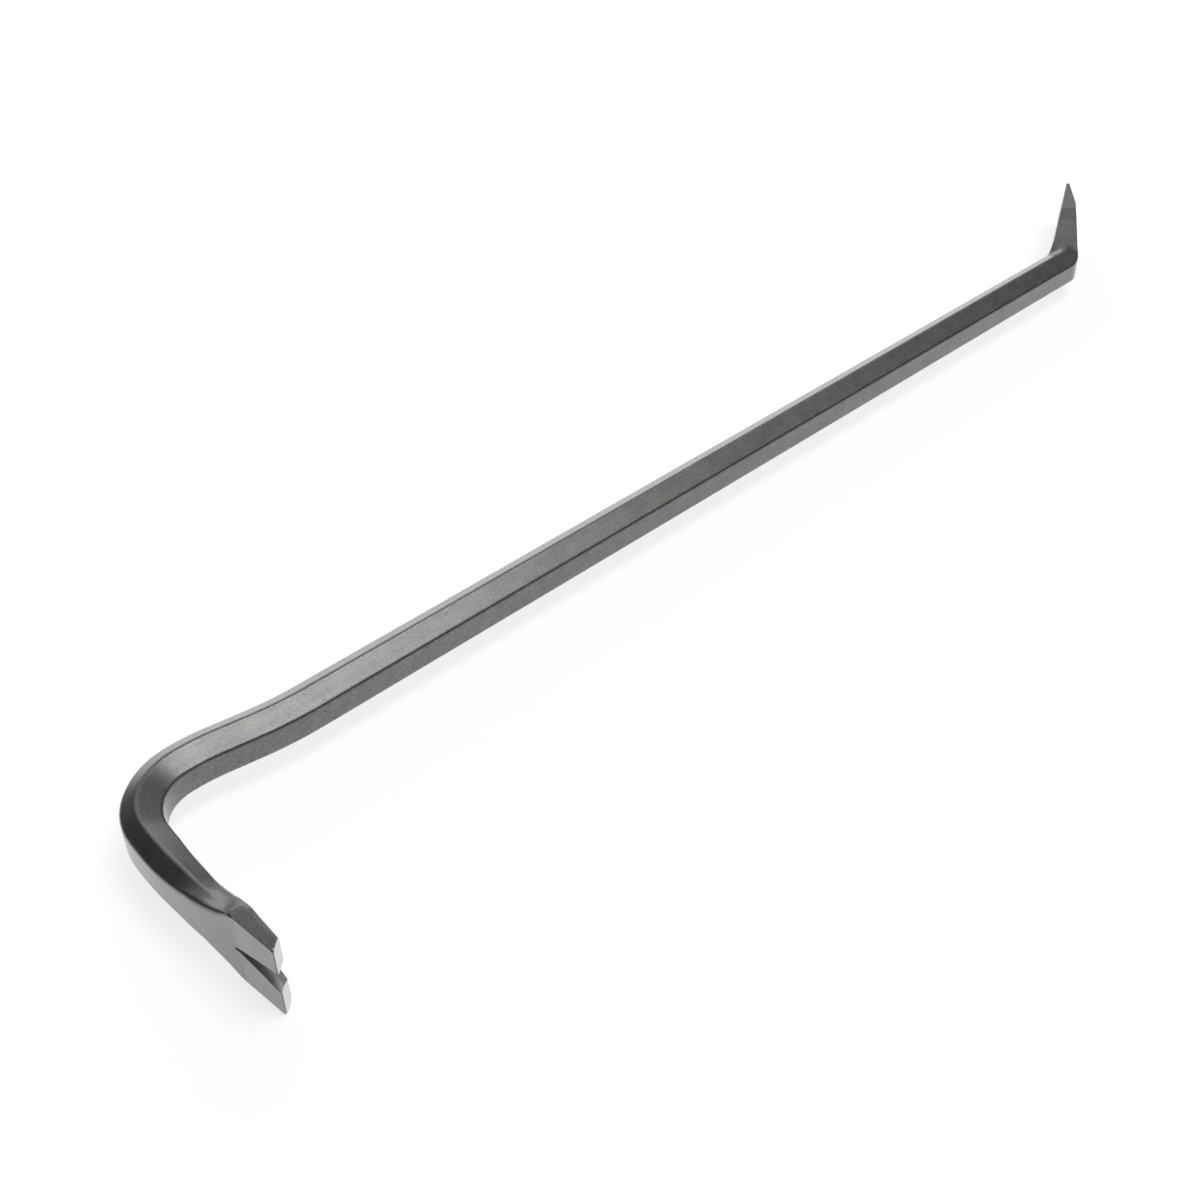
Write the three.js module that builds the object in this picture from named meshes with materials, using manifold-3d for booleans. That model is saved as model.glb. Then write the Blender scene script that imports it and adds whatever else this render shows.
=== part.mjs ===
// Wrecking bar forged from one length of hexagonal bar stock.
// One end is a gooseneck hook with a slotted claw, the other a cranked chisel that bends the opposite way.
// Millimetres, +Z up. The bar lies on its side: both bends are in a plane Z = constant, the shaft runs
// along X with the claw at +X, and the origin is under the middle of the bar's box, at its lowest point.
import * as THREE from "three";
import { mergeVertices } from "three/addons/utils/BufferGeometryUtils.js";
import Module from "manifold-3d";

const wasm = await Module();
wasm.setup();

// Stock
const ACROSS_FLATS = 19;
const STOCK_EDGE_RADIUS = 2;

// Centre line, from the chisel's edge to the claw's edge
const CHISEL_LENGTH = 94.7;
const KNEE_ANGLE = 30.5;
const KNEE_RADIUS = 16;
const SHAFT_LENGTH = 557.4;
const SWEEP_ANGLE = 9.8;
const SWEEP_RADIUS = 160;
const LINK_LENGTH = 16;
const EASE_IN_ANGLE = 11.2;
const EASE_IN_RADIUS = 90;
const HOOK_RADIUS = 31.4;
const EASE_OUT_ANGLE = 7.8;
const EASE_OUT_RADIUS = 180;
const CLAW_ANGLE = 90;
const CLAW_LENGTH = 65.7;

// The bar is thinner on the outside of the hook, where bending stretched it
const HOOK_THINNING = 2.4;

// Claw: a flat blade drawn out of the stock through a neck that thins as it flares.
// The flare is long on the outside of the hook and short on the inside.
const CLAW_WIDTH = 34;
const CLAW_CORNER_RADIUS = 1.5;
const BLADE_LENGTH = 22.4;
const NECK_LENGTH = 50;
const NECK_POWER = 2;
const NECK_ROUNDING = 7;
const SHOULDER_LENGTH = 2.5;
const BACK_BLADE_LENGTH = 22;
const BACK_FLARE_LENGTH = 30;
const RIDGE_TURN_LENGTH = 31;
const RIDGE_FULL_LENGTH = 26;
const RIDGE_FLARE_LENGTH = 18;
const RIDGE_OUTER = 3;
const LEG_TAPER_LENGTH = 28;
const LEG_INNER = 7.5;
const SHOULDER_OUTER = 3.6;
const SHOULDER_INNER = 5.1;
const CLAW_TIP_OUTER = 2.5;
const CLAW_TIP_INNER = 2.9;
const BLADE_OUTER_EDGE_RADIUS = 0.5;
const BLADE_INNER_EDGE_RADIUS = 3;

// The cutting bevel is ground flat across the rounded inner side of the blade
const CLAW_BEVEL_LENGTH = 4.5;
const CUTTING_LAND = 0.6;

// Nail slot in the claw, a V open at the cutting edge, its chamfers fading out toward the root
const SLOT_DEPTH = 24.5;
const SLOT_MOUTH = 9;
const SLOT_ROOT = 1;
const SLOT_OUTER_CHAMFER = 0.6;
const SLOT_INNER_DEPTH = 3.2;
const SLOT_INNER_FLARE = 1.85;

// Chisel: a wedge with a bevel ground on the outside of the bend
const CHISEL_WIDTH = 24;
const CHISEL_ROOT_THICKNESS = 14.2;
const CHISEL_BEVEL_THICKNESS = 8.7;
const CHISEL_BEVEL_LENGTH = 29;
const CHISEL_EDGE_THICKNESS = 2.2;
const CHISEL_EDGE_OFFSET = 1.7;
const CHISEL_NECK_LENGTH = 20;
const CHISEL_NECK_LEAD = 5;
const CHISEL_SPREAD_LENGTH = 40;
const CHISEL_EDGE_RADIUS = 1;

// Facets
const ARC_STEP = 6;
const STRAIGHT_STEP = 4;
const CLAW_STEP = 2;
const LEAST_STEP = 0.3;
const CORNER_POINTS = 4;
const LEAST_SETBACK = 0.3;
const MOST_SETBACK = 0.4;

const radians = THREE.MathUtils.degToRad;
const mix = THREE.MathUtils.lerp;

// Share of the way from one length to another, 0 to 1
function share(value, from, to) {
  return THREE.MathUtils.clamp((value - from) / (to - from), 0, 1);
}

function smooth(x) {
  return x * x * (3 - 2 * x);
}

// The centre line as straight runs and arcs; a turn is positive to the left
function arc(radius, turn) {
  return { length: radius * Math.abs(radians(turn)), turn: radians(turn) };
}

function straight(length) {
  return { length, turn: 0 };
}

const hookTurn = CLAW_ANGLE + SWEEP_ANGLE - EASE_IN_ANGLE - EASE_OUT_ANGLE;
const runs = [
  straight(CHISEL_LENGTH),
  arc(KNEE_RADIUS, -KNEE_ANGLE),
  straight(SHAFT_LENGTH),
  arc(SWEEP_RADIUS, -SWEEP_ANGLE),
  straight(LINK_LENGTH),
  arc(EASE_IN_RADIUS, EASE_IN_ANGLE),
  arc(HOOK_RADIUS, hookTurn),
  arc(EASE_OUT_RADIUS, EASE_OUT_ANGLE),
  straight(CLAW_LENGTH),
];
const barLength = runs.reduce((sum, run) => sum + run.length, 0);

// Point and heading at a distance along the centre line from the chisel's edge
function centreAt(distance) {
  let x = 0;
  let y = 0;
  let heading = radians(KNEE_ANGLE);
  let left = distance;
  for (const run of runs) {
    const part = Math.min(left, run.length);
    const turned = run.length > 0 ? (run.turn * part) / run.length : 0;
    const bow = Math.abs(turned) > 1e-9 ? Math.sin(turned / 2) / (turned / 2) : 1;
    x += part * bow * Math.cos(heading + turned / 2);
    y += part * bow * Math.sin(heading + turned / 2);
    heading += turned;
    left -= part;
    if (left <= 0) {
      break;
    }
  }
  return { x, y, heading };
}

// A section is given by the upper half of a six-cornered outline, mirrored below.
// "across" is measured in the plane of the bends, positive to the left of the centre line:
// left is the inside of the hook and the outside of the knee.
const flat = ACROSS_FLATS / 2;
const cornerSlope = Math.tan(radians(30));
const cornerHeight = flat * cornerSlope;
const ridgeHeight = flat / Math.cos(radians(30));

function stockSection() {
  return {
    right: { across: -flat, up: cornerHeight, radius: STOCK_EDGE_RADIUS },
    ridge: { across: 0, up: ridgeHeight, radius: STOCK_EDGE_RADIUS },
    left: { across: flat, up: cornerHeight, radius: STOCK_EDGE_RADIUS },
  };
}

// Distances from the claw's edge
const neckEnd = BLADE_LENGTH + NECK_LENGTH;
const backEnd = BACK_BLADE_LENGTH + BACK_FLARE_LENGTH;
const ridgeStart = RIDGE_FULL_LENGTH + RIDGE_FLARE_LENGTH;
const hookEnd = CLAW_LENGTH + arc(EASE_OUT_RADIUS, EASE_OUT_ANGLE).length;
const hookStart = hookEnd + arc(HOOK_RADIUS, hookTurn).length;
const hookMiddle = (hookStart + hookEnd) / 2;
const thinStart = hookStart + arc(EASE_IN_RADIUS, EASE_IN_ANGLE).length / 2;

function clawSection(toEdge) {
  const section = stockSection();
  const blade = share(toEdge, BLADE_LENGTH, 0);
  const soft = smooth(share(toEdge, backEnd, BACK_BLADE_LENGTH));
  const shortOfTip = Math.max(CLAW_CORNER_RADIUS - toEdge, 0);
  const trim = CLAW_CORNER_RADIUS - Math.sqrt(CLAW_CORNER_RADIUS ** 2 - shortOfTip ** 2);
  const halfWidth = CLAW_WIDTH / 2 - trim;

  // the outer flat sinks into the hook, then falls to the blade as it flares to the full width
  const hooked = flat - HOOK_THINNING * smooth(share(toEdge, thinStart, hookMiddle));
  const neck = share(toEdge, neckEnd, BLADE_LENGTH) ** NECK_POWER;
  const outer = mix(hooked, mix(SHOULDER_OUTER, CLAW_TIP_OUTER, blade), neck);
  const crisp = share(toEdge, BLADE_LENGTH + SHOULDER_LENGTH, BLADE_LENGTH);
  const neckRadius = mix(STOCK_EDGE_RADIUS, NECK_ROUNDING, soft);
  section.right.across = -outer;
  section.right.up = mix(ridgeHeight - outer * cornerSlope, halfWidth, neck);
  section.right.radius = mix(neckRadius, BLADE_OUTER_EDGE_RADIUS, crisp);

  // the inner flat tapers down the leg, then drops to the blade in a short shoulder
  const leg = mix(flat, LEG_INNER, share(toEdge, backEnd + LEG_TAPER_LENGTH, backEnd));
  section.left.across = mix(mix(leg, SHOULDER_INNER, soft), CLAW_TIP_INNER, blade);
  section.left.up = mix(cornerHeight, halfWidth, soft);
  section.left.radius = mix(STOCK_EDGE_RADIUS, BLADE_INNER_EDGE_RADIUS, soft);

  // the ridge between the sloping flats rises to the side of the blade and crosses it outward
  const rise = share(toEdge, ridgeStart, RIDGE_FULL_LENGTH) ** NECK_POWER;
  const runOut = share(toEdge, RIDGE_TURN_LENGTH, BLADE_LENGTH + SHOULDER_LENGTH);
  const settle = mix(-RIDGE_OUTER, -RIDGE_OUTER / 2, blade);
  section.ridge.across = mix(0, settle, runOut);
  section.ridge.up = mix(ridgeHeight, halfWidth, rise);
  section.ridge.radius = mix(neckRadius, BLADE_OUTER_EDGE_RADIUS, rise);
  return section;
}

// Distances from the chisel's edge
const kneeMiddle = CHISEL_LENGTH + arc(KNEE_RADIUS, KNEE_ANGLE).length / 2;
const chiselEnd = kneeMiddle + CHISEL_NECK_LEAD;
const chiselRoot = chiselEnd - CHISEL_NECK_LENGTH;

function chiselSection(toEdge) {
  const section = stockSection();
  const flatten = smooth(share(toEdge, chiselEnd, chiselRoot));
  const wedge = share(toEdge, chiselRoot, CHISEL_BEVEL_LENGTH);
  const bevel = share(toEdge, CHISEL_BEVEL_LENGTH, 0);
  const half = mix(CHISEL_ROOT_THICKNESS, CHISEL_BEVEL_THICKNESS, wedge) / 2;
  const inside = mix(half, CHISEL_EDGE_THICKNESS / 2 + CHISEL_EDGE_OFFSET, bevel);
  const outside = mix(half, CHISEL_EDGE_THICKNESS / 2 - CHISEL_EDGE_OFFSET, bevel);
  const spread = smooth(share(toEdge, chiselEnd, chiselEnd - CHISEL_SPREAD_LENGTH));
  const halfWidth = mix(ridgeHeight, CHISEL_WIDTH / 2, spread);
  const radius = mix(CHISEL_EDGE_RADIUS, CHISEL_EDGE_THICKNESS / 4, bevel);
  section.right.across = -mix(flat, inside, flatten);
  section.left.across = mix(flat, outside, flatten);
  section.ridge.across = mix(0, (section.right.across + section.left.across) / 2, flatten);
  section.right.up = mix(cornerHeight, halfWidth, flatten);
  section.left.up = section.right.up;
  section.ridge.up = halfWidth;
  section.right.radius = mix(STOCK_EDGE_RADIUS, radius, flatten);
  section.left.radius = section.right.radius;
  return section;
}

function sectionAt(distance) {
  const toClaw = barLength - distance;
  return toClaw < distance ? clawSection(toClaw) : chiselSection(distance);
}

// The closed outline of a section with each corner rounded by its own radius
function outline(section) {
  const { right, ridge, left } = section;
  const below = (corner) => ({ ...corner, up: -corner.up });
  const corners = [right, ridge, left, below(left), below(ridge), below(right)].map((corner) => ({
    at: new THREE.Vector2(corner.across, corner.up),
    radius: corner.radius,
  }));
  const points = [];
  corners.forEach((corner, i) => {
    const before = corners[(i + corners.length - 1) % corners.length].at;
    const after = corners[(i + 1) % corners.length].at;
    const toBefore = before.clone().sub(corner.at);
    const toAfter = after.clone().sub(corner.at);
    const turn = Math.PI - toBefore.angleTo(toAfter);
    const room = MOST_SETBACK * Math.min(toBefore.length(), toAfter.length());
    const setback = Math.min(Math.max(corner.radius * Math.tan(turn / 2), LEAST_SETBACK), room);
    const start = toBefore.setLength(setback).add(corner.at);
    const end = toAfter.setLength(setback).add(corner.at);
    const curve = new THREE.QuadraticBezierCurve(start, corner.at, end);
    points.push(...curve.getPoints(CORNER_POINTS - 1));
  });
  return points;
}

// Distances along the centre line where a section is set: close together where the bar bends or changes
function stations() {
  const marks = [0, CHISEL_BEVEL_LENGTH, chiselRoot, chiselEnd, barLength];
  for (const toEdge of [CLAW_CORNER_RADIUS / 3, CLAW_CORNER_RADIUS, BLADE_LENGTH, neckEnd, thinStart]) {
    marks.push(barLength - toEdge);
  }
  let start = 0;
  for (const run of runs) {
    const steps = Math.max(Math.ceil(Math.abs(run.turn) / radians(ARC_STEP)), 1);
    for (let i = 0; i <= steps; i += 1) {
      marks.push(start + (run.length * i) / steps);
    }
    start += run.length;
  }
  for (let at = 0; at < chiselEnd; at += STRAIGHT_STEP) {
    marks.push(at);
  }
  for (let at = barLength; at > barLength - backEnd - LEG_TAPER_LENGTH; at -= CLAW_STEP) {
    marks.push(at);
  }
  marks.sort((a, b) => a - b);
  return marks.filter((mark, i) => i === 0 || mark - marks[i - 1] > LEAST_STEP);
}

// A closed solid through rings of points with the same count, each ring clockwise seen from behind
function loft(rings) {
  const count = rings[0].length;
  const positions = rings.flat().flatMap((point) => point.toArray());
  const index = [];
  for (let r = 0; r < rings.length - 1; r += 1) {
    for (let i = 0; i < count; i += 1) {
      const a = r * count + i;
      const b = r * count + ((i + 1) % count);
      index.push(a, a + count, b, b, a + count, b + count);
    }
  }
  const last = (rings.length - 1) * count;
  for (let i = 1; i < count - 1; i += 1) {
    index.push(0, i, i + 1);
    index.push(last, last + i + 1, last + i);
  }
  const geometry = new THREE.BufferGeometry();
  geometry.setAttribute("position", new THREE.Float32BufferAttribute(positions, 3));
  geometry.setIndex(index);
  return geometry;
}

function barRing(distance) {
  const { x, y, heading } = centreAt(distance);
  return outline(sectionAt(distance)).map(
    (point) => new THREE.Vector3(
      x - point.x * Math.sin(heading),
      y + point.x * Math.cos(heading),
      point.y,
    ),
  );
}

// A point on the claw, from its distance to the edge, its place across the blade and its height
function clawPoint(toEdge, across, up) {
  const tip = centreAt(barLength);
  return new THREE.Vector3(
    tip.x - toEdge * Math.cos(tip.heading) - across * Math.sin(tip.heading),
    tip.y - toEdge * Math.sin(tip.heading) + across * Math.cos(tip.heading),
    up,
  );
}

function outerFace(toEdge) {
  return -mix(CLAW_TIP_OUTER, SHOULDER_OUTER, toEdge / BLADE_LENGTH);
}

function innerFace(toEdge) {
  return mix(CLAW_TIP_INNER, SHOULDER_INNER, toEdge / BLADE_LENGTH);
}

// The V slot's cutter: four levels through the blade's thickness, the outermost past its faces.
// Each level is a four-cornered V that follows the taper of the face it is nearest to.
function slotCutter() {
  const reach = SLOT_DEPTH / 6;
  const level = (face, offset, grow) => {
    const corner = (toEdge, side) => {
      const open = 1 - toEdge / SLOT_DEPTH;
      const width = mix(SLOT_ROOT, SLOT_MOUTH, open) / 2 + grow * open;
      return clawPoint(toEdge, face(toEdge) + offset, side * width);
    };
    return [corner(-reach, 1), corner(SLOT_DEPTH, 1), corner(SLOT_DEPTH, -1), corner(-reach, -1)];
  };
  return loft([
    level(outerFace, -SLOT_OUTER_CHAMFER, 2 * SLOT_OUTER_CHAMFER),
    level(outerFace, SLOT_OUTER_CHAMFER, 0),
    level(innerFace, -SLOT_INNER_DEPTH, 0),
    level(innerFace, SLOT_INNER_DEPTH, 2 * SLOT_INNER_FLARE),
  ]);
}

// A block whose one face lies on the plane of the cutting bevel
function bevelCutter() {
  const reach = 2 * CLAW_BEVEL_LENGTH;
  const start = CUTTING_LAND - CLAW_TIP_OUTER;
  const slope = (innerFace(CLAW_BEVEL_LENGTH) - start) / CLAW_BEVEL_LENGTH;
  const corners = [
    [-reach, start - slope * reach],
    [reach, start + slope * reach],
    [reach, CLAW_WIDTH],
    [-reach, CLAW_WIDTH],
  ];
  return loft([-CLAW_WIDTH, CLAW_WIDTH].map(
    (up) => corners.map(([toEdge, across]) => clawPoint(toEdge, across, up)),
  ));
}

function toSolid(geometry) {
  const merged = mergeVertices(geometry, 1e-4);
  return new wasm.Manifold(new wasm.Mesh({
    numProp: 3,
    vertProperties: new Float32Array(merged.attributes.position.array),
    triVerts: new Uint32Array(merged.index.array),
  }));
}

function toGeometry(solid) {
  const mesh = solid.getMesh();
  const geometry = new THREE.BufferGeometry();
  geometry.setAttribute("position", new THREE.BufferAttribute(mesh.vertProperties, 3));
  geometry.setIndex(new THREE.BufferAttribute(mesh.triVerts, 1));
  geometry.computeVertexNormals();
  return geometry;
}

const blank = toSolid(loft(stations().map(barRing)));
const slotted = blank.subtract(toSolid(slotCutter()));
const forged = toGeometry(slotted.subtract(toSolid(bevelCutter())));
forged.computeBoundingBox();
const box = forged.boundingBox;
const middle = box.getCenter(new THREE.Vector3());

const paintedSteel = new THREE.MeshStandardMaterial({
  color: 0x70726f,
  roughness: 0.45,
  metalness: 0.6,
});

const forgedBar = new THREE.Mesh(forged, paintedSteel);
forgedBar.name = "forged_bar";
forgedBar.position.set(-middle.x, -middle.y, -box.min.z);

const pryBar = new THREE.Group();
pryBar.add(forgedBar);

export default pryBar;
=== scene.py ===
# %% [markdown]
# # A forged wrecking bar
# A wrecking bar is one length of hexagonal steel. The smith draws out both ends while the bar is
# still straight, punches the nail slot, and only then bends the hook and the chisel's knee.
# This lesson works in the same order: shape the straight bar, cut the slot, bend it along a
# centre line, then give it its skin of satin lacquer.

# %% Load the frame
import math

import bpy
from mathutils import Matrix, Vector, geometry


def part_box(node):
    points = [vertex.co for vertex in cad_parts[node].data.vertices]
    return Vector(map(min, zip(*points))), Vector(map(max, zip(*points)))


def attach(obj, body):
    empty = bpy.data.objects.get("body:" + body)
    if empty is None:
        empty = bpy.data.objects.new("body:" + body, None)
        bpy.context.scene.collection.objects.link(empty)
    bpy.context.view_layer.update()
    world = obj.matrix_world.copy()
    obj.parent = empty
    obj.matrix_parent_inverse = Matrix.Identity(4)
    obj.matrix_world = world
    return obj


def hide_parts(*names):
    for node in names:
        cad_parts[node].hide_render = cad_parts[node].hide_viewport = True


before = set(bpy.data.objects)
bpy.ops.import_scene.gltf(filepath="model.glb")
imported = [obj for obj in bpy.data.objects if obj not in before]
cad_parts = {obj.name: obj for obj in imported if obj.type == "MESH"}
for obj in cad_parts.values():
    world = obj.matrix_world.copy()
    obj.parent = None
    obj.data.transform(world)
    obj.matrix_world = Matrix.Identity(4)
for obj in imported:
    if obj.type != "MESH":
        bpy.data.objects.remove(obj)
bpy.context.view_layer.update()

low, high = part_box("forged_bar")

# %% [markdown]
# ## Sizes
# All the sizes are in millimetres, as on a drawing, and one factor turns them to metres.
# The names follow the bar from its stock to its two ends. A length along the bar is measured
# on its centre line, because that line keeps its length when the bar is bent.

# %% Sizes
MM = 0.001

ACROSS_FLATS = 19.0
STOCK_EDGE_RADIUS = 2.0

CHISEL_LENGTH = 94.7
KNEE_ANGLE, KNEE_RADIUS = 30.5, 16.0
SHAFT_LENGTH = 557.4
SWEEP_ANGLE, SWEEP_RADIUS = 9.8, 160.0
LINK_LENGTH = 16.0
EASE_IN_ANGLE, EASE_IN_RADIUS = 11.2, 90.0
HOOK_RADIUS = 31.4
EASE_OUT_ANGLE, EASE_OUT_RADIUS = 7.8, 180.0
CLAW_ANGLE, CLAW_LENGTH = 90.0, 65.7
HOOK_THINNING = 2.4

CLAW_WIDTH, CLAW_CORNER_RADIUS = 34.0, 1.5
BLADE_LENGTH, NECK_LENGTH, NECK_ROUNDING = 22.4, 50.0, 7.0
NECK_POWER = 2
BACK_BLADE_LENGTH, BACK_FLARE_LENGTH, SHOULDER_LENGTH = 22.0, 30.0, 2.5
RIDGE_FULL_LENGTH, RIDGE_FLARE_LENGTH = 26.0, 18.0
RIDGE_TURN_LENGTH, RIDGE_OUTER = 31.0, 3.0
LEG_TAPER_LENGTH, LEG_INNER = 28.0, 7.5
SHOULDER_OUTER, SHOULDER_INNER = 3.6, 5.1
CLAW_TIP_OUTER, CLAW_TIP_INNER = 2.5, 2.9
CLAW_BEVEL_LENGTH, CUTTING_LAND = 4.5, 0.6
BLADE_OUTER_EDGE_RADIUS, BLADE_INNER_EDGE_RADIUS = 0.5, 3.0

SLOT_DEPTH, SLOT_MOUTH, SLOT_ROOT = 24.5, 9.0, 1.0
SLOT_OUTER_CHAMFER, SLOT_INNER_DEPTH, SLOT_INNER_FLARE = 0.6, 3.2, 1.85

CHISEL_WIDTH = 24.0
CHISEL_ROOT_THICKNESS, CHISEL_BEVEL_THICKNESS = 14.2, 8.7
CHISEL_BEVEL_LENGTH = 29.0
CHISEL_EDGE_THICKNESS, CHISEL_EDGE_OFFSET = 2.2, 1.7
CHISEL_NECK_LENGTH, CHISEL_NECK_LEAD, CHISEL_SPREAD_LENGTH = 20.0, 5.0, 40.0
CHISEL_EDGE_RADIUS, CHISEL_NECK_ROUNDING = 1.0, 7.0


def share(value, start, end):
    """How far value is from start to end, kept between 0 and 1."""
    return min(max((value - start) / (end - start), 0.0), 1.0)


def smooth(x):
    """Ease a share between 0 and 1, level at both ends."""
    return x * x * (3 - 2 * x)


def mix(a, b, t):
    return a + (b - a) * t


# %% [markdown]
# ## The centre line
# A smith marks a bar with chalk and bends it at each mark. Here the marks are a list of runs:
# each has a length and the angle it turns through, positive to the left. The line could be
# drawn by hand as a Bezier curve, but arcs of known radius are how bending dies work, and they
# keep the length exact. The line becomes a Blender curve that the bending step can follow.

# %% The centre line
def arc(radius, turn):
    """A run of the centre line: its length and the angle it turns through."""
    return (radius * abs(math.radians(turn)), math.radians(turn))


HOOK_TURN = CLAW_ANGLE + SWEEP_ANGLE - EASE_IN_ANGLE - EASE_OUT_ANGLE
runs = [
    (CHISEL_LENGTH, 0.0),
    arc(KNEE_RADIUS, -KNEE_ANGLE),
    (SHAFT_LENGTH, 0.0),
    arc(SWEEP_RADIUS, -SWEEP_ANGLE),
    (LINK_LENGTH, 0.0),
    arc(EASE_IN_RADIUS, EASE_IN_ANGLE),
    arc(HOOK_RADIUS, HOOK_TURN),
    arc(EASE_OUT_RADIUS, EASE_OUT_ANGLE),
    (CLAW_LENGTH, 0.0),
]
BAR_LENGTH = sum(length for length, turn in runs)


def centre_at(distance):
    """Point on the centre line, in millimetres from the chisel's edge."""
    x = y = 0.0
    heading = math.radians(KNEE_ANGLE)
    for length, turn in runs:
        part = min(distance, length)
        turned = turn * part / length
        chord = part * (math.sin(turned / 2) / (turned / 2) if turned else 1.0)
        x += chord * math.cos(heading + turned / 2)
        y += chord * math.sin(heading + turned / 2)
        heading += turned
        distance -= part
    return x, y


PATH_STEP = 1.0
path_count = round(BAR_LENGTH / PATH_STEP)
path_curve = bpy.data.curves.new("centre_line", "CURVE")
path_curve.dimensions = "3D"
spline = path_curve.splines.new("POLY")
spline.points.add(path_count)
for i, point in enumerate(spline.points):
    x, y = centre_at(BAR_LENGTH * i / path_count)
    point.co = (x * MM, y * MM, 0.0, 1.0)
centre_line = bpy.data.objects.new("centre_line", path_curve)
bpy.context.collection.objects.link(centre_line)
print(f"bar {BAR_LENGTH:.1f} mm along its centre line, {path_count + 1} points")

# %% [markdown]
# ## Sections of the straight bar
# Cut the bar anywhere and the cut has six corners, the same above and below: a hexagon in the
# shaft, a rectangle in the blades, and something between in the necks. So three corners of the
# upper half are enough: right, ridge and left. Each rule below gives them at one distance from
# an edge. Modelling the ends by hand with a subdivision cage would also work, but rules let the
# necks flow into the hexagon without a seam.

# %% Stock and claw sections
FLAT = ACROSS_FLATS / 2
CORNER_SLOPE = math.tan(math.radians(30))
CORNER_HEIGHT = FLAT * CORNER_SLOPE
RIDGE_HEIGHT = FLAT / math.cos(math.radians(30))

NECK_END = BLADE_LENGTH + NECK_LENGTH
BACK_END = BACK_BLADE_LENGTH + BACK_FLARE_LENGTH
RIDGE_START = RIDGE_FULL_LENGTH + RIDGE_FLARE_LENGTH
HOOK_END = CLAW_LENGTH + arc(EASE_OUT_RADIUS, EASE_OUT_ANGLE)[0]
HOOK_START = HOOK_END + arc(HOOK_RADIUS, HOOK_TURN)[0]
HOOK_MIDDLE = (HOOK_START + HOOK_END) / 2
THIN_START = HOOK_START + arc(EASE_IN_RADIUS, EASE_IN_ANGLE)[0] / 2


def claw_section(to_edge):
    """Right, ridge and left corners as (across, up, rounding) near the claw."""
    # the two ends of the edge are rounded, so the blade is narrower in its last millimetre
    blade = share(to_edge, BLADE_LENGTH, 0)
    short_of_tip = max(CLAW_CORNER_RADIUS - to_edge, 0)
    trim = CLAW_CORNER_RADIUS - math.sqrt(CLAW_CORNER_RADIUS ** 2 - short_of_tip ** 2)
    half_width = CLAW_WIDTH / 2 - trim

    # the outer flat sinks into the hook, then falls to the blade as it flares to full width
    hooked = FLAT - HOOK_THINNING * smooth(share(to_edge, THIN_START, HOOK_MIDDLE))
    neck = share(to_edge, NECK_END, BLADE_LENGTH) ** NECK_POWER
    outer = mix(hooked, mix(SHOULDER_OUTER, CLAW_TIP_OUTER, blade), neck)
    soft = smooth(share(to_edge, BACK_END, BACK_BLADE_LENGTH))
    crisp = share(to_edge, BLADE_LENGTH + SHOULDER_LENGTH, BLADE_LENGTH)
    neck_radius = mix(STOCK_EDGE_RADIUS, NECK_ROUNDING, soft)
    right = (
        -outer,
        mix(RIDGE_HEIGHT - outer * CORNER_SLOPE, half_width, neck),
        mix(neck_radius, BLADE_OUTER_EDGE_RADIUS, crisp),
    )

    # the inner flat tapers down the leg, then drops to the blade
    leg = mix(FLAT, LEG_INNER, share(to_edge, BACK_END + LEG_TAPER_LENGTH, BACK_END))
    left = (
        mix(mix(leg, SHOULDER_INNER, soft), CLAW_TIP_INNER, blade),
        mix(CORNER_HEIGHT, half_width, soft),
        mix(STOCK_EDGE_RADIUS, BLADE_INNER_EDGE_RADIUS, soft),
    )

    # the ridge rises to the side of the blade and crosses it outward
    rise = share(to_edge, RIDGE_START, RIDGE_FULL_LENGTH) ** NECK_POWER
    run_out = share(to_edge, RIDGE_TURN_LENGTH, BLADE_LENGTH + SHOULDER_LENGTH)
    settle = mix(-RIDGE_OUTER, -RIDGE_OUTER / 2, blade)
    ridge = (
        mix(0, settle, run_out),
        mix(RIDGE_HEIGHT, half_width, rise),
        mix(neck_radius, BLADE_OUTER_EDGE_RADIUS, rise),
    )
    return right, ridge, left


# %% Chisel section
KNEE_MIDDLE = CHISEL_LENGTH + arc(KNEE_RADIUS, KNEE_ANGLE)[0] / 2
CHISEL_END = KNEE_MIDDLE + CHISEL_NECK_LEAD
CHISEL_ROOT = CHISEL_END - CHISEL_NECK_LENGTH


def chisel_section(to_edge):
    """Right, ridge and left corners as (across, up, rounding) near the chisel."""
    flatten = smooth(share(to_edge, CHISEL_END, CHISEL_ROOT))
    wedge = share(to_edge, CHISEL_ROOT, CHISEL_BEVEL_LENGTH)
    bevel = share(to_edge, CHISEL_BEVEL_LENGTH, 0)
    half = mix(CHISEL_ROOT_THICKNESS, CHISEL_BEVEL_THICKNESS, wedge) / 2
    inside = mix(half, CHISEL_EDGE_THICKNESS / 2 + CHISEL_EDGE_OFFSET, bevel)
    outside = mix(half, CHISEL_EDGE_THICKNESS / 2 - CHISEL_EDGE_OFFSET, bevel)
    spread = smooth(share(to_edge, CHISEL_END, CHISEL_END - CHISEL_SPREAD_LENGTH))
    half_width = mix(RIDGE_HEIGHT, CHISEL_WIDTH / 2, spread)
    rounding = mix(
        STOCK_EDGE_RADIUS, mix(CHISEL_EDGE_RADIUS, CHISEL_EDGE_THICKNESS / 4, bevel), flatten
    )
    right_across = -mix(FLAT, inside, flatten)
    left_across = mix(FLAT, outside, flatten)
    corner_up = mix(CORNER_HEIGHT, half_width, flatten)
    ridge_across = mix(0, (right_across + left_across) / 2, flatten)
    # the ridge is roundest halfway along the neck, where the hexagon gives way to the blade
    soft = 4 * flatten * (1 - flatten)
    return (
        (right_across, corner_up, rounding),
        (ridge_across, half_width, mix(STOCK_EDGE_RADIUS, CHISEL_NECK_ROUNDING, soft)),
        (left_across, corner_up, rounding),
    )


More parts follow.
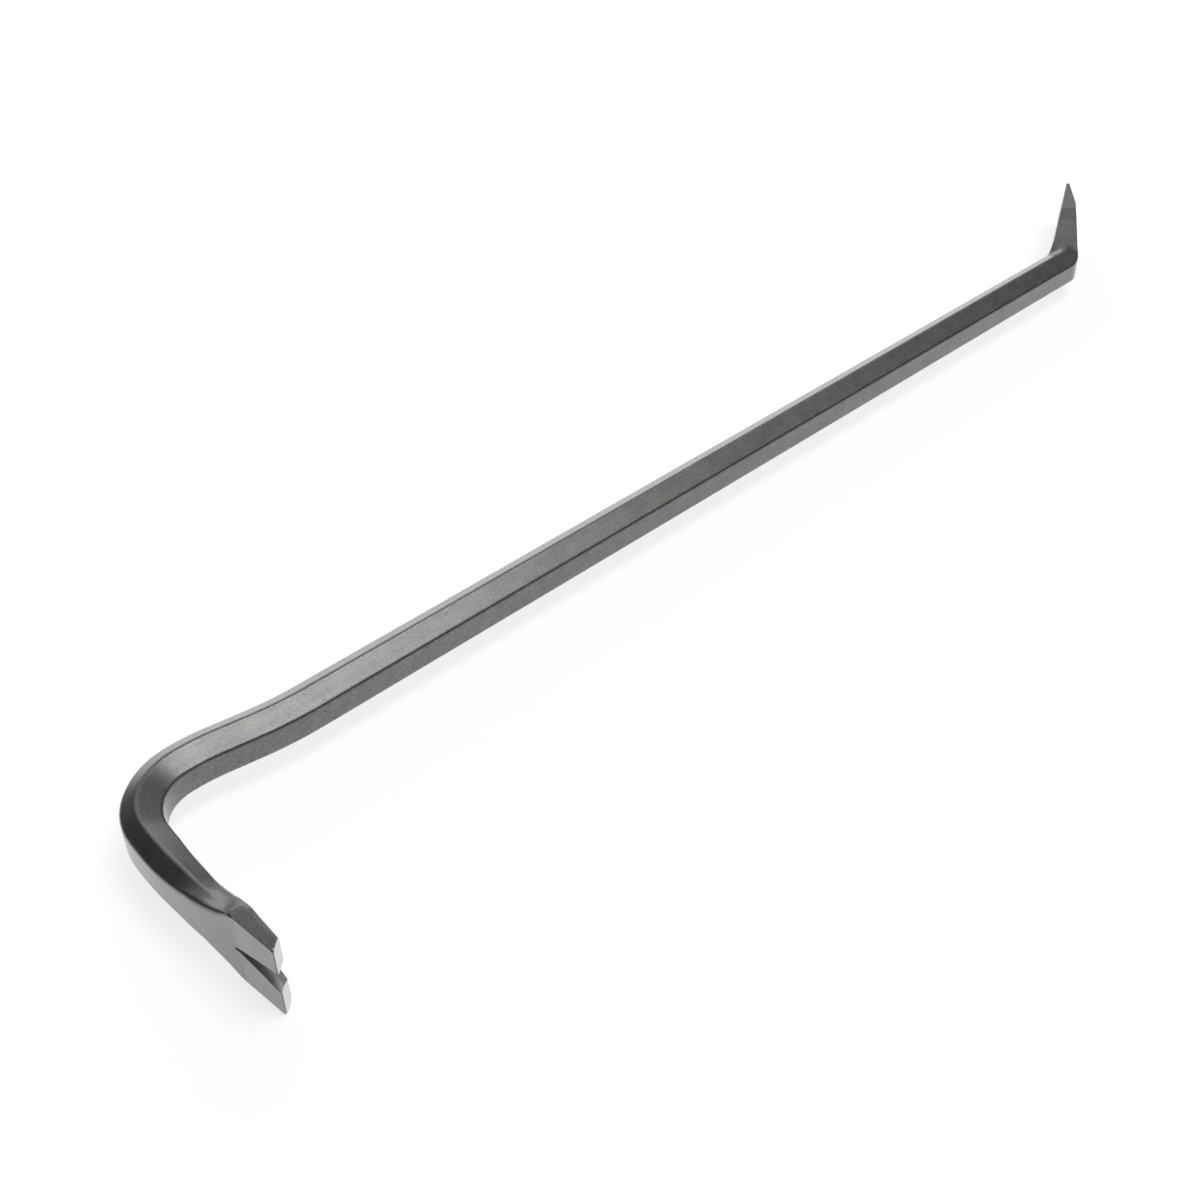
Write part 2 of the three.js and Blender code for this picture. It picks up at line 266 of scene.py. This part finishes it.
# %% [markdown]
# ## The straight blank
# A section becomes a ring of points: every corner is rounded as rolled stock is, and each flat
# carries a few points of its own so that light runs evenly over it. The points beside a corner
# sit close to it, which keeps the flats flat and the roundings tight. Rings stand close together
# where the shape changes. A point attribute called *edge* marks the roundings, where lacquer
# wears first.

# %% Rings of the blank
CORNER_POINTS = 6
FLAT_POINTS = (0.05, 0.2, 0.5, 0.8, 0.95)
LEAST_SETBACK, MOST_SETBACK = 0.15, 0.42
CHISEL_STEP, SHAFT_STEP, HOOK_STEP, CLAW_STEP, LEAST_STEP = 1.2, 8.0, 2.0, 0.8, 0.25
AFTER_KNEE, BEFORE_SWEEP, TIP_RING = 6.0, 240.0, 0.3


def ring_at(distance):
    """Points (across, up, edge) round the bar at one distance."""
    to_claw = BAR_LENGTH - distance
    upper = claw_section(to_claw) if to_claw < distance else chisel_section(distance)
    lower = [(across, -up, rounding) for across, up, rounding in reversed(upper)]
    corners = [*upper, *lower]
    arcs = []
    for i, (across, up, rounding) in enumerate(corners):
        corner = Vector((across, up))
        to_before = Vector(corners[i - 1][:2]) - corner
        to_after = Vector(corners[(i + 1) % 6][:2]) - corner
        turn = math.pi - to_before.angle(to_after, 0.0)
        room = MOST_SETBACK * min(to_before.length, to_after.length)
        setback = min(max(rounding * math.tan(turn / 2), LEAST_SETBACK), room)
        start = corner + to_before.normalized() * setback
        end = corner + to_after.normalized() * setback
        steps = [k / (CORNER_POINTS - 1) for k in range(CORNER_POINTS)]
        arcs.append([
            start * (1 - t) ** 2 + corner * 2 * t * (1 - t) + end * t ** 2 for t in steps
        ])
    points = []
    for i, corner_arc in enumerate(arcs):
        points += [(*p, 1.0) for p in corner_arc]
        start, end = corner_arc[-1], arcs[(i + 1) % 6][0]
        points += [(*start.lerp(end, t), 0.0) for t in FLAT_POINTS]
    return points


def ring_distances():
    """Where rings stand: close together in the ends, wider in the hook, widest in the shaft."""
    claw_marks = (TIP_RING, BLADE_LENGTH, RIDGE_FULL_LENGTH, RIDGE_TURN_LENGTH)
    marks = [0.0, CHISEL_BEVEL_LENGTH, BAR_LENGTH]
    marks += [BAR_LENGTH - to_edge for to_edge in claw_marks]
    shaft_start, shaft_end = CHISEL_END + AFTER_KNEE, BAR_LENGTH - BEFORE_SWEEP
    spans = [
        (0.0, shaft_start, CHISEL_STEP),
        (shaft_start, shaft_end, SHAFT_STEP),
        (shaft_end, BAR_LENGTH - NECK_END, HOOK_STEP),
        (BAR_LENGTH - NECK_END, BAR_LENGTH, CLAW_STEP),
    ]
    for start, end, step in spans:
        count = math.ceil((end - start) / step)
        marks += [mix(start, end, i / count) for i in range(count)]
    kept = []
    for mark in sorted(marks):
        if not kept or mark - kept[-1] > LEAST_STEP:
            kept.append(mark)
    return kept


distances = ring_distances()
verts, edge_mark = [], []
for distance in distances:
    for across, up, edge in ring_at(distance):
        verts.append((distance * MM, across * MM, up * MM))
        edge_mark.append(edge)
ring = len(verts) // len(distances)
faces = [tuple(range(ring)), tuple(reversed(range(len(verts) - ring, len(verts))))]
for r in range(len(distances) - 1):
    for i in range(ring):
        a, b = r * ring + i, r * ring + (i + 1) % ring
        faces.append((a, a + ring, b + ring, b))
blank_mesh = bpy.data.meshes.new("straight_blank")
blank_mesh.from_pydata(verts, [], faces)
blank_mesh.update()
blank_mesh.attributes.new("edge", "FLOAT", "POINT").data.foreach_set("value", edge_mark)
blank = bpy.data.objects.new("straight_blank", blank_mesh)
bpy.context.collection.objects.link(blank)
print(f"blank: {len(distances)} rings of {ring} points")

# %% [markdown]
# ## The slot punch and the grindstone
# The nail slot is driven through the hot blade with a wedge-shaped punch, and its rims are then
# eased so that a nail's head slides in: a little on the outer face, and widely on the inner. The
# punch here is a V with four levels through the blade, and the easing fades to nothing at the
# root, where the real one is sharp. The cutting bevel is ground last, by holding the blade's
# rounded inner side to a flat stone, so each prong ends in a D-shaped face. A block with one
# face on the bevel's plane does the same when it is subtracted.

# %% Cutting tools
def tool_object(name, levels):
    """A closed block lofted through levels of four points, in metres."""
    points = [tuple(value * MM for value in point) for level in levels for point in level]
    last = len(points) - 4
    sides = [(0, 1, 2, 3), (last + 3, last + 2, last + 1, last)]
    for r in range(len(levels) - 1):
        for i in range(4):
            a, b = 4 * r + i, 4 * r + (i + 1) % 4
            sides.append((a, a + 4, b + 4, b))
    mesh = bpy.data.meshes.new(name)
    mesh.from_pydata(points, [], sides)
    tool = bpy.data.objects.new(name, mesh)
    bpy.context.collection.objects.link(tool)
    return tool


PUNCH_OVERRUN = SLOT_DEPTH / 6


def punch_level(across_at, offset, grow):
    """Four points of the wedge at one level, from past the tip to the slot's root."""
    ends = []
    for to_edge in (-PUNCH_OVERRUN, SLOT_DEPTH):
        opened = 1 - to_edge / SLOT_DEPTH
        width = mix(SLOT_ROOT, SLOT_MOUTH, opened) / 2 + grow * opened
        across = mix(*across_at, 1 - to_edge / BLADE_LENGTH) + offset
        ends.append([(BAR_LENGTH - to_edge, across, side * width) for side in (1, -1)])
    (tip_up, tip_down), (root_up, root_down) = ends
    return [tip_up, root_up, root_down, tip_down]


OUTER_FACE = (-SHOULDER_OUTER, -CLAW_TIP_OUTER)
INNER_FACE = (SHOULDER_INNER, CLAW_TIP_INNER)
punch = tool_object("slot_punch", [
    punch_level(OUTER_FACE, -SLOT_OUTER_CHAMFER, 2 * SLOT_OUTER_CHAMFER),
    punch_level(OUTER_FACE, SLOT_OUTER_CHAMFER, 0),
    punch_level(INNER_FACE, -SLOT_INNER_DEPTH, 0),
    punch_level(INNER_FACE, SLOT_INNER_DEPTH, 2 * SLOT_INNER_FLARE),
])

bevel_tip = Vector((BAR_LENGTH, CUTTING_LAND - CLAW_TIP_OUTER))
bevel_back = Vector((
    BAR_LENGTH - CLAW_BEVEL_LENGTH,
    mix(CLAW_TIP_INNER, SHOULDER_INNER, CLAW_BEVEL_LENGTH / BLADE_LENGTH),
))
slope = bevel_tip - bevel_back
STONE_THICKNESS = 12.0
stone_plan = [
    bevel_tip + slope, bevel_back - slope,
    bevel_back - slope + Vector((0, STONE_THICKNESS)),
    bevel_tip + slope + Vector((STONE_THICKNESS, STONE_THICKNESS)),
]
stone = tool_object("grindstone", [
    [(*point, side * CLAW_WIDTH) for point in stone_plan] for side in (-1, 1)
])
print(f"punch: V {SLOT_MOUTH} mm wide, {SLOT_DEPTH} mm deep; bevel {slope.length:.1f} mm")

# %% [markdown]
# ## One helper for nodes
# Every node tree below, for shape and for finish, is built with the same small function. It adds
# a node, sets its properties, and fills each named input with a value or with another node's
# output.

# %% Node helper
def add(tree, kind, inputs=None, **settings):
    """A node of one kind, with its settings and its named inputs filled."""
    node = tree.nodes.new(kind)
    for key, value in settings.items():
        setattr(node, key, value)
    for key, value in (inputs or {}).items():
        if isinstance(value, bpy.types.NodeSocket):
            tree.links.new(value, node.inputs[key])
        else:
            node.inputs[key].default_value = value
    return node


def colour(code):
    """An sRGB hex value as the linear colour that shaders use."""
    channels = [int(code[i:i + 2], 16) / 255 for i in (1, 3, 5)]
    linear = [c / 12.92 if c <= 0.04045 else ((c + 0.055) / 1.055) ** 2.4 for c in channels]
    return (*linear, 1.0)


# %% [markdown]
# ## The skin: satin lacquer over forged steel
# The bar is blackened forged steel under a thin, dark, satin lacquer. What the eye sees is mostly
# the steel's reflection, dimmed by the lacquer: each flat takes the tone of whatever it faces, so
# the six flats read as separate stripes. The steel is therefore a dark metal of middle
# roughness, and the detail is fine: a mottle where the lacquer is thicker, long streaks from the
# rolling mill, and a slight grain in the surface. The stock's own straight coordinates, which
# the bending step stores, carry the pattern round the bends.

# %% Lacquered steel
lacquer = bpy.data.materials.new("satin lacquered forged steel")
lacquer.use_nodes = True
tree = lacquer.node_tree
tree.nodes.clear()
stock = add(tree, "ShaderNodeAttribute", attribute_name="stock").outputs["Vector"]
edge = add(tree, "ShaderNodeAttribute", attribute_name="edge").outputs["Fac"]
# this mask is 1 on the ground bevels and a half on the slot walls, where it paints a highlight
ground_and_slot_highlight = add(tree, "ShaderNodeAttribute", attribute_name="ground_and_slot_highlight").outputs["Fac"]
along = add(tree, "ShaderNodeSeparateXYZ", {"Vector": stock}).outputs["X"]

MOTTLE = 9 * MM
GRAIN = 0.7 * MM
MOTTLE_SHARE = 0.4
STREAK_WIDTH, STREAK_LENGTH = 1.6 * MM, 90 * MM

mottle = add(
    tree, "ShaderNodeTexNoise", {"Vector": stock, "Scale": 1 / MOTTLE, "Detail": 4.0}
).outputs["Fac"]
grain = add(
    tree, "ShaderNodeTexNoise", {"Vector": stock, "Scale": 1 / GRAIN, "Detail": 3.0}
).outputs["Fac"]
drawn = add(
    tree, "ShaderNodeVectorMath",
    {0: stock, 1: (1 / STREAK_LENGTH, 1 / STREAK_WIDTH, 1 / STREAK_WIDTH)}, operation="MULTIPLY",
).outputs["Vector"]
streak = add(
    tree, "ShaderNodeTexNoise", {"Vector": drawn, "Scale": 1.0, "Detail": 2.0}
).outputs["Fac"]

speckle = add(
    tree, "ShaderNodeMath", {0: mottle, 1: MOTTLE_SHARE, 2: grain}, operation="MULTIPLY_ADD"
).outputs["Value"]
tone = add(
    tree, "ShaderNodeMapRange", {"Value": speckle, "From Min": 0.5, "From Max": 0.9}
).outputs["Result"]
skin = add(
    tree, "ShaderNodeMix",
    {"Factor": tone, "A": colour("#585956"), "B": colour("#797a76")}, data_type="RGBA",
).outputs[2]
print("lacquer nodes:", len(tree.nodes))

# %% [markdown]
# ## Two lengths of the chisel
# About the last 38 mm of the chisel were polished after hardening and are a little lighter. The
# 25 mm behind them took the heat of the temper and are a little darker. Both are painted by
# distance from the edge, with a soft border that the mottle makes uneven.

# %% Tempered chisel end
BORDER_WANDER = 6 * MM
POLISH_FULL, POLISH_GONE = 40 * MM, 43 * MM
TEMPER_FULL, TEMPER_GONE = 54 * MM, 68 * MM
wander = add(
    tree, "ShaderNodeMath", {0: mottle, 1: BORDER_WANDER, 2: along}, operation="MULTIPLY_ADD"
).outputs["Value"]
polished = add(
    tree, "ShaderNodeMapRange",
    {"Value": wander, "From Min": POLISH_GONE, "From Max": POLISH_FULL},
    interpolation_type="SMOOTHSTEP",
).outputs["Result"]
tempered = add(
    tree, "ShaderNodeMapRange",
    {"Value": wander, "From Min": TEMPER_GONE, "From Max": TEMPER_FULL},
    interpolation_type="SMOOTHSTEP",
).outputs["Result"]
with_temper = add(
    tree, "ShaderNodeMix",
    {"Factor": tempered, "A": skin, "B": colour("#575855")}, data_type="RGBA",
).outputs[2]
with_polish = add(
    tree, "ShaderNodeMix",
    {"Factor": polished, "A": with_temper, "B": colour("#7a7b78")}, data_type="RGBA",
).outputs[2]
print("temper fades over", round((TEMPER_GONE - TEMPER_FULL) / MM), "mm")

# %% [markdown]
# ## Bevels, a painted slot highlight and worn edges
# Grinding takes the lacquer off the two bevels and leaves bare steel with fine lines that run
# toward the edge. The slot walls get half of that bright steel as a painted highlight, for the
# light they catch from above. Along the corners the lacquer is thin, and it has begun to rub away
# in specks.

# %% Ground bevels, painted slot highlight and wear
GRIND_LINE, GRIND_RUN = 0.5 * MM, 14 * MM
EDGE_WEAR = 0.35
STREAK_HEIGHT = 0.6
SKIN_DEPTH = 0.05 * MM
grind = add(
    tree, "ShaderNodeVectorMath",
    {0: stock, 1: (1 / GRIND_RUN, 1 / GRIND_LINE, 1 / GRIND_LINE)}, operation="MULTIPLY",
).outputs["Vector"]
grind_lines = add(
    tree, "ShaderNodeTexNoise", {"Vector": grind, "Scale": 1.0, "Detail": 2.0}
).outputs["Fac"]
bright_steel = add(
    tree, "ShaderNodeMix",
    {"Factor": grind_lines, "A": colour("#b4b5b2"), "B": colour("#dcddda")}, data_type="RGBA",
).outputs[2]
# the same mask paints half the bright steel on the slot walls as a highlight for the light from
# above
with_bevel_and_slot_highlight = add(
    tree, "ShaderNodeMix", {"Factor": ground_and_slot_highlight, "A": with_polish, "B": bright_steel}, data_type="RGBA"
).outputs[2]
specks = add(
    tree, "ShaderNodeMapRange", {"Value": grain, "From Min": 0.6, "From Max": 0.72}
).outputs["Result"]
rubbed = add(tree, "ShaderNodeMath", {0: specks, 1: edge}, operation="MULTIPLY").outputs["Value"]
some = add(tree, "ShaderNodeMath", {0: rubbed, 1: EDGE_WEAR}, operation="MULTIPLY").outputs["Value"]
final_tone = add(
    tree, "ShaderNodeMix",
    {"Factor": some, "A": with_bevel_and_slot_highlight, "B": colour("#b0b1ae")}, data_type="RGBA",
).outputs[2]

height = add(
    tree, "ShaderNodeMath", {0: streak, 1: STREAK_HEIGHT, 2: grain}, operation="MULTIPLY_ADD"
).outputs["Value"]
height = add(
    tree, "ShaderNodeMix", {"Factor": ground_and_slot_highlight, "A": height, "B": grind_lines}, data_type="FLOAT"
).outputs["Result"]
bump = add(
    tree, "ShaderNodeBump", {"Height": height, "Strength": 0.7, "Distance": SKIN_DEPTH}
).outputs["Normal"]
roughness = add(
    tree, "ShaderNodeMapRange",
    {"Value": streak, "From Min": 0.3, "From Max": 0.7, "To Min": 0.44, "To Max": 0.5},
).outputs["Result"]
shader = add(
    tree, "ShaderNodeBsdfPrincipled",
    {
        "Base Color": final_tone, "Metallic": 1.0, "Roughness": roughness, "Normal": bump,
        "Coat Weight": 1.0, "Coat Roughness": 0.22,
    },
)
add(tree, "ShaderNodeOutputMaterial", {"Surface": shader.outputs["BSDF"]})
print("lacquer nodes:", len(tree.nodes))

# %% [markdown]
# ## Cut, bend, finish
# The punch is driven first, because the blank is still straight. Then each point of the blank
# is carried to the centre line: its distance along the bar picks a place on the curve, and its
# across and up stay measured from there. A Curve modifier could bend the bar too, but a node
# tree states the rule openly, takes its sizes as inputs, and can add the faint dents that
# hammering and bending leave in every forged bar. They only press inward, so the bar keeps
# within its drawn size.

# %% The bending tree
bend = bpy.data.node_groups.new("bend_bar", "GeometryNodeTree")
for name, kind in (
    ("Blank", "NodeSocketGeometry"),
    ("Punch", "NodeSocketObject"),
    ("Grindstone", "NodeSocketObject"),
    ("Centre line", "NodeSocketObject"),
    ("Waviness", "NodeSocketFloat"),
    ("Wave length", "NodeSocketFloat"),
    ("Seed", "NodeSocketInt"),
    ("Finish", "NodeSocketMaterial"),
):
    bend.interface.new_socket(name, in_out="INPUT", socket_type=kind)
bend.interface.new_socket("Bar", in_out="OUTPUT", socket_type="NodeSocketGeometry")
given = add(bend, "NodeGroupInput").outputs

wedge = add(bend, "GeometryNodeObjectInfo", {"Object": given["Punch"]}).outputs["Geometry"]
block = add(bend, "GeometryNodeObjectInfo", {"Object": given["Grindstone"]}).outputs["Geometry"]
cut = given["Blank"]
for tool in (wedge, block):
    cut = add(
        bend, "GeometryNodeMeshBoolean", {"Mesh 1": cut, "Mesh 2": tool},
        operation="DIFFERENCE", solver="EXACT",
    ).outputs["Mesh"]
place = add(bend, "GeometryNodeInputPosition").outputs["Position"]
kept = add(
    bend, "GeometryNodeStoreNamedAttribute",
    {"Geometry": cut, "Name": "stock", "Value": place},
    data_type="FLOAT_VECTOR", domain="POINT",
).outputs["Geometry"]

parts = add(bend, "ShaderNodeSeparateXYZ", {"Vector": place}).outputs
line = add(bend, "GeometryNodeObjectInfo", {"Object": given["Centre line"]}).outputs["Geometry"]
on_line = add(
    bend, "GeometryNodeSampleCurve", {"Curves": line, "Length": parts["X"]},
    mode="LENGTH", use_all_curves=True,
).outputs
up = (0.0, 0.0, 1.0)
side = add(
    bend, "ShaderNodeVectorMath", {0: up, 1: on_line["Tangent"]}, operation="CROSS_PRODUCT"
).outputs["Vector"]
side = add(bend, "ShaderNodeVectorMath", {0: side}, operation="NORMALIZE").outputs["Vector"]
sideways = add(
    bend, "ShaderNodeVectorMath", {0: side, "Scale": parts["Y"]}, operation="SCALE"
).outputs["Vector"]
upwards = add(bend, "ShaderNodeCombineXYZ", {"Z": parts["Z"]}).outputs["Vector"]
offset = add(bend, "ShaderNodeVectorMath", {0: sideways, 1: upwards}).outputs["Vector"]
bent_place = add(
    bend, "ShaderNodeVectorMath", {0: on_line["Position"], 1: offset}
).outputs["Vector"]

scaled = add(
    bend, "ShaderNodeVectorMath", {0: place, 1: given["Wave length"]}, operation="DIVIDE"
).outputs["Vector"]
wave = add(
    bend, "ShaderNodeTexNoise", {"Vector": scaled, "W": given["Seed"], "Scale": 1.0, "Detail": 1.0},
    noise_dimensions="4D",
).outputs["Fac"]
swing = add(bend, "ShaderNodeMath", {0: wave, 1: -1.0}).outputs["Value"]
push = add(
    bend, "ShaderNodeMath", {0: swing, 1: given["Waviness"]}, operation="MULTIPLY"
).outputs["Value"]
normal = add(bend, "GeometryNodeInputNormal").outputs["Normal"]
bent = add(
    bend, "GeometryNodeSetPosition", {"Geometry": kept, "Position": bent_place}
).outputs["Geometry"]
ripple = add(
    bend, "ShaderNodeVectorMath", {0: normal, "Scale": push}, operation="SCALE"
).outputs["Vector"]
print("bend_bar nodes:", len(bend.nodes))

# %% Finish the tree
remembered = add(
    bend, "GeometryNodeInputNamedAttribute", {"Name": "stock"}, data_type="FLOAT_VECTOR"
).outputs["Attribute"]
bend.links.new(remembered, scaled.node.inputs[0])
rippled = add(
    bend, "GeometryNodeSetPosition", {"Geometry": bent, "Offset": ripple}
).outputs["Geometry"]
real = add(bend, "GeometryNodeRealizeInstances", {"Geometry": rippled}).outputs["Geometry"]
painted = add(
    bend, "GeometryNodeSetMaterial", {"Geometry": real, "Material": given["Finish"]}
).outputs["Geometry"]
add(bend, "NodeGroupOutput", {"Bar": painted})

modifier = blank.modifiers.new("bend", "NODES")
modifier.node_group = bend
identifiers = {item.name: item.identifier for item in bend.interface.items_tree}
for name, value in (
    ("Punch", punch),
    ("Grindstone", stone),
    ("Centre line", centre_line),
    ("Waviness", 0.12 * MM),
    ("Wave length", 22 * MM),
    ("Seed", 7),
    ("Finish", lacquer),
):
    modifier[identifiers[name]] = value
bpy.context.view_layer.update()
evaluated = blank.evaluated_get(bpy.context.evaluated_depsgraph_get())
bar_mesh = bpy.data.meshes.new_from_object(evaluated)
blank.modifiers.remove(modifier)
print("bent bar:", len(bar_mesh.vertices), "points,", len(bar_mesh.polygons), "faces")

# %% [markdown]
# ## Which faces were ground, and the slot's painted highlight
# Each face still knows where it was on the straight bar, so a face belongs to a bevel when its
# straight normal is the bevel's own. This could be painted by hand, but the rule finds the D-shaped
# faces of the prongs exactly. The walls of the slot get half of the bare steel's colour, a painted
# highlight for the light they catch from above. The answer is kept on the faces as an attribute,
# 1 on the bevels and a half on the slot walls.

# %% Mark the ground faces and the slot's painted highlight
# share of bright steel painted on the slot walls as a highlight for the light they catch from above
SLOT_PAINTED_HIGHLIGHT = 0.5
SAME_WAY = 0.999
claw_bevel = Vector((-slope.y, slope.x, 0)).normalized()
chisel_rise = CHISEL_BEVEL_THICKNESS / 2 - CHISEL_EDGE_THICKNESS / 2 + CHISEL_EDGE_OFFSET
chisel_bevel = Vector((-chisel_rise / CHISEL_BEVEL_LENGTH, 1, 0)).normalized()
straight = [item.vector for item in bar_mesh.attributes["stock"].data]
ground_and_slot_highlight_faces = []
for face in bar_mesh.polygons:
    facing = geometry.normal([straight[i] for i in face.vertices])
    start = straight[face.vertices[0]].x / MM
    on_claw = start > BAR_LENGTH - 1.5 * CLAW_BEVEL_LENGTH and facing.dot(claw_bevel) > SAME_WAY
    on_chisel = start < CHISEL_BEVEL_LENGTH + 0.1 and facing.dot(chisel_bevel) > SAME_WAY
    middle = sum((straight[i] for i in face.vertices), Vector()) / len(face.vertices) / MM
    # the slot walls get a painted highlight: half the bright steel, for the light they catch from
    # above
    by_slot = middle.x > BAR_LENGTH - SLOT_DEPTH - 1 and abs(middle.z) < CLAW_WIDTH / 4
    in_slot = by_slot and abs(facing.z) > 0.5
    ground_and_slot_highlight_faces.append(1.0 if on_claw or on_chisel else SLOT_PAINTED_HIGHLIGHT * in_slot)
bar_mesh.attributes.new("ground_and_slot_highlight", "FLOAT", "FACE").data.foreach_set("value", ground_and_slot_highlight_faces)
print("ground faces:", ground_and_slot_highlight_faces.count(1.0), "and in the slot", ground_and_slot_highlight_faces.count(SLOT_PAINTED_HIGHLIGHT))

# %% [markdown]
# ## Set the bar in the frame
# The bent bar still starts at its chisel edge. It is moved in its mesh so that its box sits on the
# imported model's box, and its object stays at the origin.

# %% Place the bar
SHARP_DEGREES = 28
corners = [vertex.co for vertex in bar_mesh.vertices]
bar_low = [min(corner[axis] for corner in corners) for axis in range(3)]
bar_high = [max(corner[axis] for corner in corners) for axis in range(3)]
shift = [
    (low[axis] + high[axis] - bar_low[axis] - bar_high[axis]) / 2 for axis in range(3)
]
bar_mesh.transform(Matrix.Translation(shift))
bar_mesh.shade_smooth()
bar_mesh.set_sharp_from_angle(angle=math.radians(SHARP_DEGREES))
bar = bpy.data.objects.new("wrecking_bar", bar_mesh)
bpy.context.collection.objects.link(bar)
for helper in (blank, punch, stone, centre_line):
    bpy.data.objects.remove(helper)
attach(bar, "root")
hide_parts("forged_bar")
print("moved by", [round(value / MM, 2) for value in shift], "mm")

# %% [markdown]
# ## Floor
# A light table is the plainest floor for a dark, glossy tool: a white sheet that glows a little, so
# its shadow stays soft and every flat that faces down has something bright to mirror.

# %% Floor
floor_mesh = bpy.data.meshes.new("light_table")
REACH = 4.0
floor_mesh.from_pydata(
    [(-REACH, -REACH, 0), (REACH, -REACH, 0), (REACH, REACH, 0), (-REACH, REACH, 0)], [],
    [(0, 1, 2, 3)],
)
floor = bpy.data.objects.new("light_table", floor_mesh)
bpy.context.collection.objects.link(floor)
opal = bpy.data.materials.new("white opal acrylic")
opal.use_nodes = True
opal_shader = opal.node_tree.nodes["Principled BSDF"]
for name, value in (
    ("Base Color", colour("#a8a8a6")),
    ("Roughness", 0.9),
    ("Emission Color", colour("#ffffff")),
    ("Emission Strength", 0.79),
):
    opal_shader.inputs[name].default_value = value
floor_mesh.materials.append(opal)
print("floor", 2 * REACH, "m square")

# %% [markdown]
# ## Light
# Three wide soft sources far away light everything evenly: one overhead and a little to the
# chisel's side, one lower behind the shaft, and a weak one near the horizon for its far flat. The
# room around them is dim, so flats and roundings that face it go dark and the hexagon reads
# clearly.

# %% Lights and room
def soft_light(name, toward, strength, width):
    light = bpy.data.lights.new(name, "SUN")
    light.energy = strength
    light.angle = math.radians(width)
    source = bpy.data.objects.new(name, light)
    source.rotation_euler = Vector(toward).to_track_quat("Z", "Y").to_euler()
    bpy.context.collection.objects.link(source)


soft_light("overhead", (-0.27, 0.20, 0.94), 1.15, 32)
soft_light("behind", (-0.45, -0.65, 0.61), 0.45, 70)
soft_light("low behind", (-0.50, -0.84, 0.20), 0.35, 40)
world = bpy.data.worlds.new("dim room")
world.use_nodes = True
room = world.node_tree
room.nodes.clear()
sight = add(room, "ShaderNodeLightPath").outputs["Is Camera Ray"]
seen = add(
    room, "ShaderNodeMix",
    {"Factor": sight, "A": colour("#505050"), "B": colour("#f4f4f4")}, data_type="RGBA",
).outputs[2]
backdrop = add(room, "ShaderNodeBackground", {"Color": seen, "Strength": 1.0})
add(room, "ShaderNodeOutputWorld", {"Surface": backdrop.outputs["Background"]})
bpy.context.scene.world = world
bpy.context.scene.view_settings.view_transform = "Standard"
print("lights:", [item.name for item in bpy.data.lights])

# %% [markdown]
# ## Camera
# The camera looks down over the claw toward the chisel, from about as high as it is far. It is a
# normal lens, held almost level.

# %% Camera
CAMERA_PLACE = (535.44, 421.99, 456.0)
PITCH, YAW, ROLL = math.radians(-37.40), math.radians(-133.59), math.radians(-1.53)
SENSOR_WIDTH, FOCAL_LENGTH = 36.0, 48.33
forward = Vector((
    math.cos(PITCH) * math.cos(YAW), math.cos(PITCH) * math.sin(YAW), math.sin(PITCH)
))
level_right = forward.cross(Vector((0, 0, 1))).normalized()
level_up = level_right.cross(forward)
right = math.cos(ROLL) * level_right + math.sin(ROLL) * level_up
upward = math.cos(ROLL) * level_up - math.sin(ROLL) * level_right
lens = bpy.data.cameras.new("camera")
lens.sensor_width, lens.lens = SENSOR_WIDTH, FOCAL_LENGTH
camera = bpy.data.objects.new("camera", lens)
turned = Matrix((right, upward, -forward)).transposed().to_4x4()
camera.matrix_world = Matrix.Translation(Vector(CAMERA_PLACE) * MM) @ turned
bpy.context.collection.objects.link(camera)
bpy.context.scene.camera = camera
print("camera at", [round(value, 3) for value in camera.location])
